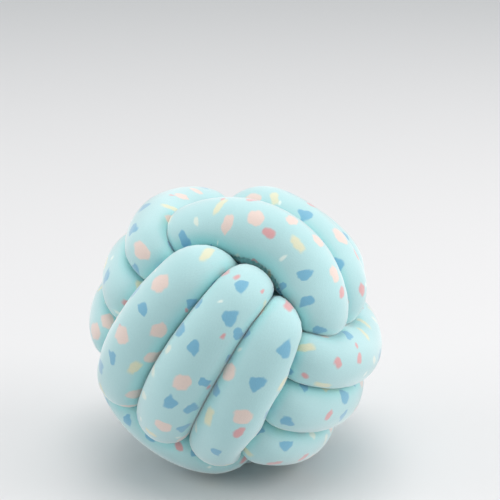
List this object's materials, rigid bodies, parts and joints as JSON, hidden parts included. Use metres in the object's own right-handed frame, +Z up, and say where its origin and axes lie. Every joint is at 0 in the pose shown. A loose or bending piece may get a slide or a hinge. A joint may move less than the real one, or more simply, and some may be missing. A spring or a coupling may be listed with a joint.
{
  "type": "knot cushion",
  "caption": "Round knot cushion: a long stuffed cloth tube tied into a ball of interlaced strands, for leaning on or as a soft accent on a seat.",
  "frame": {"origin": "centre of the ball's box at its lowest height, on the surface the cushion rests on", "axes": "+Z up; +X to the right and -Y towards the viewer as in the picture"},
  "size_m": [0.2696, 0.2714, 0.2598],
  "materials": {
    "printed_plush": "matte short plush, pale aqua with a scattered terrazzo-chip print in peach, blue, yellow and coral"
  },
  "bodies": {
    "root": {"knotted_tube": "printed_plush"}
  },
  "joints": []
}
